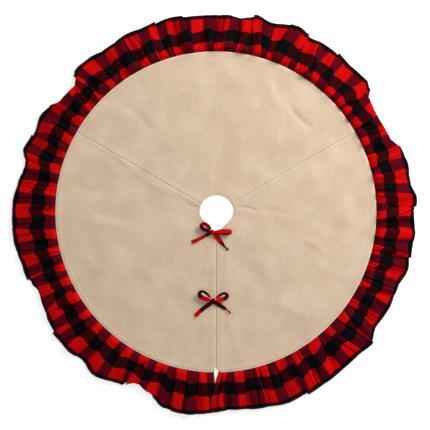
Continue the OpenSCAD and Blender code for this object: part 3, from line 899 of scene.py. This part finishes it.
def on_burlap(points, above=0.15 * MM):
    """Places (x, y) put on the burlap's upper face, a little above it."""
    x, y = np.asarray(points, float).T
    return np.stack([x, y, BURLAP_Z + BURLAP_T + lift(x, y) + burlap_puff(x, y) + above], axis=1)


def arc(r, start, end):
    """Places along an arc, in degrees. r is a radius or a function of the angle in radians."""
    a = np.radians(np.linspace(start, end, max(8, int((end - start) * 2))))
    radius = r(a) if callable(r) else r
    return np.stack([radius * np.cos(a), radius * np.sin(a)], axis=1)


def straight(x, y0, y1):
    """Places along a line at one x, from y0 to y1."""
    y = np.linspace(y0, y1, max(2, int(abs(y1 - y0) / (8 * MM))))
    return np.stack([np.full_like(y, x), y], axis=1)


def hole_line(a):
    """The line of stitches round the hole, which keeps the hole's own outline."""
    return hole_reach(a) + (HOLE_STITCH_R - HOLE_R)


SEWN = dict(pitch=4.2 * MM, length=3.5 * MM, width=0.75 * MM, material=THREAD)
SLIT_GAP = 1.5           # degrees between the slit and the rows that run round the skirt
HEM_ROW_TOP = -64 * MM   # where the rows down the slit hems start
for side, cad, start, end, body in PANELS:
    start, end = max(start, -90 + SLIT_GAP), min(end, 270 - SLIT_GAP)
    for name, line in (("rim", arc(RIM_STITCH_R, start, end)), ("hole", arc(hole_line, start, end))):
        row = stitches(f"{side}_{name}_stitches", [on_burlap(line)], **SEWN)
        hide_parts(f"{cad}_{name}_stitching")
        attach(row, body)
for side, x, body in (("left", -18 * MM, LEFT), ("right", 14 * MM, RIGHT)):
    line = straight(x, HEM_ROW_TOP, -RIM_STITCH_R + 4 * MM)
    row = stitches(f"{side}_hem_stitches", [on_burlap(line)], **SEWN)
    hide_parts(f"{side}_hem_stitching")
    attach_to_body(row, body)

# The hems at the ruffle's two ends: a line of dark stitches a little in from each end
stitched = int(0.75 * END_HEM / STEP)
for side, index, body in (("right", stitched, RIGHT), ("left", -1 - stitched, LEFT)):
    line = ruffle[index, 4:-1] + np.array([0, 0, 0.3 * MM])
    row = stitches(f"{side}_ruffle_end_stitches", [line], 3.2 * MM, 2.6 * MM, 0.7 * MM, DARK_THREAD)
    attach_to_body(row, body)


# ---------------------------------------------------------------- bows

RIBBON_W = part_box("upper_left_tie")[1][1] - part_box("upper_left_tie")[0][1]
KNOT_RISE = 7.5 * MM     # middle of a knot above the burlap
TAIL_DROP = 3.2 * MM     # how far under it the tails start
KNOT_W, KNOT_H = 6.2 * MM, 5.4 * MM    # the knot's radii, aside and up


def ribbon(name, line, across, widths, start, thickness=1.1 * MM):
    """A folded ribbon along a line, as wide as widths in the directions of across, held clear of the burlap.

    start is where on the check it is cut.
    """
    along = unit(np.gradient(line, axis=0))
    across = unit(across - np.sum(across * along, axis=1, keepdims=True) * along)
    face = np.cross(along, across)
    widths = widths[:, None]
    length = run(line)
    # Outline of the ribbon's section: two soft-edged faces, a little hollow in the middle
    section = [(-0.5, 0.0), (-0.46, 0.42), (-0.25, 0.5), (0.0, 0.42), (0.25, 0.5), (0.46, 0.42),
               (0.5, 0.0), (0.46, -0.42), (0.25, -0.5), (0.0, -0.42), (-0.25, -0.5), (-0.46, -0.42)]
    points, uvs = [], []
    for p, q in section:
        points.append(line + across * widths * p + face * thickness * q)
        uvs.append(np.stack([length + start, (widths * p)[:, 0] - 19 * MM], axis=1))
    rings = np.stack(points, axis=1)
    surface = on_burlap(rings[:, :, :2].reshape(-1, 2))[:, 2].reshape(rings.shape[:2])
    raised = np.maximum(0, (surface + 0.2 * MM - rings[:, :, 2]).max(axis=1))
    rings[:, :, 2] += np.convolve(np.pad(raised, 3, mode="edge"), np.ones(7) / 7, mode="valid")[:, None]
    piece = tube(name, rings, uvs, RIBBON_CHECK, flip=True)
    return piece


def directions(angle):
    """Unit vectors out along an angle, to its left, and up."""
    t = math.radians(angle)
    return (np.array([math.cos(t), math.sin(t), 0]), np.array([-math.sin(t), math.cos(t), 0]),
            np.array([0.0, 0.0, 1.0]))


def loop(name, knot, angle, length, breadth, tilt, flare, wide, nose, start):
    """A ribbon loop out of the knot, pinched there.

    Its plane is tilted about its own direction, and it opens upwards by flare. wide is how much it widens
    past the knot, and nose how much it narrows again at its tip.
    """
    out, left, up = directions(angle)
    t = np.linspace(0.015, 0.985, 64)
    swell = (1 - np.cos(2 * math.pi * t)) / 2
    x = 4 * MM + (length - 4 * MM) * swell ** 0.85
    y = breadth / 2 * np.sin(2 * math.pi * t) * (0.45 + 0.65 * swell)
    lean = math.radians(tilt)
    plane = math.cos(lean) * left + math.sin(lean) * up
    normal = math.cos(lean) * up - math.sin(lean) * left
    line = knot + np.outer(x, out) + np.outer(y, plane)
    outward = np.cross(normal, unit(np.gradient(line, axis=0)))
    open_ = np.radians(flare) * smooth(swell * 3 + 0.2)
    across = np.cos(open_)[:, None] * normal + np.sin(open_)[:, None] * outward
    widths = RIBBON_W * (0.72 + wide * smooth(swell * 3.4)) * (1 - nose * swell ** 12)
    crumple = 0.5 * MM * np.sin(9 * math.pi * t + 1) * swell
    return ribbon(name, line + np.outer(crumple, up), across, widths, start)


def tail(name, knot, angle, length, start, bend, twist, widths):
    """A ribbon tail that comes down from the knot and lies on the burlap, bent aside by bend millimetres.

    widths are pairs of a share of its length and how wide it looks there, in millimetres.
    """
    out, left, up = directions(angle)
    t = np.linspace(0, 1, 48)
    x = 3 * MM + (length - 3 * MM) * t
    side = bend * MM * np.sin(math.pi * t * 0.9) * t
    line = knot[None, :] * np.array([1, 1, 0]) + np.outer(x, out) + np.outer(side, left)
    rest = BURLAP_Z + BURLAP_T + lift(line[:, 0], line[:, 1]) + 2.0 * MM
    down = smooth(t / 0.42)
    line[:, 2] = knot[2] * (1 - down) + rest * down + 0.7 * MM * np.sin(3 * math.pi * t) * t
    turn = np.radians(twist) * smooth((t - 0.45) / 0.4) + 0.22 * np.sin(7 * t + start * 90)
    across = np.cos(turn)[:, None] * left + np.sin(turn)[:, None] * up
    shares, wide = zip(*widths)
    wide = np.interp(t, shares, wide) * MM
    line[:, 2] += np.abs(np.sin(turn)) * wide * 0.4
    return ribbon(name, line, across, wide, start, thickness=1.5 * MM)


def knot_band(name, knot, angle, start):
    """The wrapped knot: the ribbon once round over the loops' roots, pinched at its sides."""
    out, left, up = directions(angle)
    t = np.linspace(0, 2 * math.pi, 33)
    line = knot + np.outer(np.cos(t) * KNOT_W, left) + np.outer(np.sin(t) * KNOT_H, up)
    across = np.repeat(out[None], len(t), axis=0) + 0.12 * np.outer(np.sin(t), left)
    widths = RIBBON_W * (0.92 + 0.14 * np.sin(t) ** 2)
    return ribbon(name, line, across, widths, start, thickness=2.2 * MM)


def bow(height, raised, loops, tails, knot_angle, knot_start):
    """One bow, its loops and tails as their functions say, in degrees and millimetres."""
    low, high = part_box(f"{height}_knot")
    centre = np.array([(low[0] + high[0]) / 2, (low[1] + high[1]) / 2, 0])
    centre[2] = on_burlap([centre[:2]])[0, 2] + KNOT_RISE
    for side, angle, length, breadth, tilt, flare, wide, nose, start in loops:
        piece = loop(f"{height}_{side}_bow_loop", centre + np.array([0, 0, raised * MM]), angle, length * MM,
                     breadth * MM, tilt, flare, wide, nose, start * MM)
        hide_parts(f"{height}_{side}_loop")
        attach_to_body(piece, f"{height}_{side}_loop")
    for side, angle, length, start, bend, twist, widths in tails:
        piece = tail(f"{height}_{side}_bow_tail", centre - np.array([0, 0, TAIL_DROP]), angle, length * MM,
                     start * MM, bend, twist, widths)
        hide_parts(f"{height}_{side}_tail")
        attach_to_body(piece, f"{height}_{side}_tail")
    piece = knot_band(f"{height}_bow_knot", centre, knot_angle, knot_start * MM)
    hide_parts(f"{height}_knot")
    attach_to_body(piece, LEFT)


bow("upper", 0.6,
    [("left", 148, 40, 19, -2, 56, 0.72, 0.1, 2), ("right", 0, 56, 12, 66, 4, 0.85, 0.35, 39)],
    [("left", 205, 70, 22, 3, 0, [(0, 9), (0.4, 9.5), (0.9, 12), (1, 12.6)]),
     ("right", -49, 72, 49, -4, 40, [(0, 12), (0.2, 15), (0.55, 14), (0.7, 8), (0.9, 5), (1, 8.5)])],
    41, 48)
bow("lower", 1.7,
    [("left", 148, 47, 23, -15, 48, 0.75, 0.1, -33), ("right", 24, 46, 20, 14, 50, 0.7, 0.1, -21)],
    [("left", 222, 70, -2, -4, 8, [(0, 11), (0.3, 12.6), (1, 13)]),
     ("right", -37, 65, 0, 5, 40, [(0, 12), (0.25, 14), (0.6, 10), (0.75, 5), (0.9, 6), (1, 9)])],
    10, 0)

TIE_SHOWS = 6 * MM       # how far each tie runs from the slit before it goes in under the burlap's edge
TIE_NARROW = 7.5 * MM    # how wide it is where it bunches up into the knot
TACK_START, TACK_H = 3.4 * MM, 4.8 * MM    # a tack's first corner below a tie's middle, and its height
for height in ("upper", "lower"):
    for side, body in (("left", LEFT), ("right", RIGHT)):
        low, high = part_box(f"{height}_{side}_tie")
        x = np.linspace(max(low[0], -2 * TIE_SHOWS), min(high[0], TIE_SHOWS), 14)
        y = np.full_like(x, (low[1] + high[1]) / 2 - 1 * MM)
        line = on_burlap(np.stack([x, y], axis=1), above=0.9 * MM)
        piece = ribbon(f"{height}_{side}_tie_ribbon", line, np.repeat([[0.0, 1.0, 0.0]], len(x), axis=0),
                       np.full(len(x), TIE_NARROW), 4 * MM)
        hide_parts(f"{height}_{side}_tie")
        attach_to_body(piece, body)
for side, sign, body in (("left", -1, LEFT), ("right", 1, RIGHT)):
    squares = []
    for height in ("upper", "lower"):
        low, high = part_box(f"{height}_{side}_tie")
        y0 = (low[1] + high[1]) / 2 - TACK_START
        y1 = y0 + TACK_H
        x0, x1 = sign * 2.5 * MM, sign * 5 * MM
        corners = [(x0, y0), (x1, y0), (x1, y1), (x0, y1), (x0, y0)]
        squares.append(on_burlap(corners, above=1.6 * MM))
    row = stitches(f"{side}_tie_tack_stitches", squares, 1.6 * MM, 1.5 * MM, 0.6 * MM, DARK_THREAD)
    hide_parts(f"{side}_tie_tacks")
    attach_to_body(row, body)


# ---------------------------------------------------------------- floor, light and camera

def floor():
    """A pale floor, just under the lining."""
    size, z = 60.0, -0.4 * MM
    corners = [(-size, -size, z), (size, -size, z), (size, size, z), (-size, size, z)]
    surface, _, shader = new_material("painted_floor")
    shader.inputs["Base Color"].default_value = linear("#fafafa")
    shader.inputs["Roughness"].default_value = 0.9
    shader.inputs["Emission Color"].default_value = (1, 1, 1, 1)
    shader.inputs["Emission Strength"].default_value = 0.5
    piece = new_object("floor", corners, [(0, 1, 2, 3)], [(0, 0)] * 4, surface)


def area_light(name, place, target, size, power):
    """A soft square light that faces a target."""
    light = bpy.data.lights.new(name, "AREA")
    light.size, light.energy = size, power
    towards = (Vector(target) - Vector(place)).to_track_quat("-Z", "Y")
    lamp = placed(name, light)
    lamp.matrix_world = Matrix.Translation(place) @ towards.to_matrix().to_4x4()


def studio():
    """Soft white light from all round, with a key from the back right."""
    world = bpy.data.worlds.new("studio")
    world.use_nodes = True
    world.node_tree.nodes["Background"].inputs["Color"].default_value = (1, 1, 1, 1)
    world.node_tree.nodes["Background"].inputs["Strength"].default_value = 0.5
    bpy.context.scene.world = world
    area_light("key", (2.1, 1.9, 1.6), (0, 0, 0), 1.4, 118)
    bpy.context.scene.view_settings.view_transform = "Standard"


def camera():
    """Straight down over the skirt."""
    height, width = 4.0, 1.3008
    view = bpy.data.cameras.new("camera")
    view.sensor_width = 36
    view.lens = view.sensor_width * height / width
    eye = placed("camera", view)
    eye.location = (-2.4 * MM, -9.1 * MM, height)
    bpy.context.scene.camera = eye


floor()
studio()
camera()
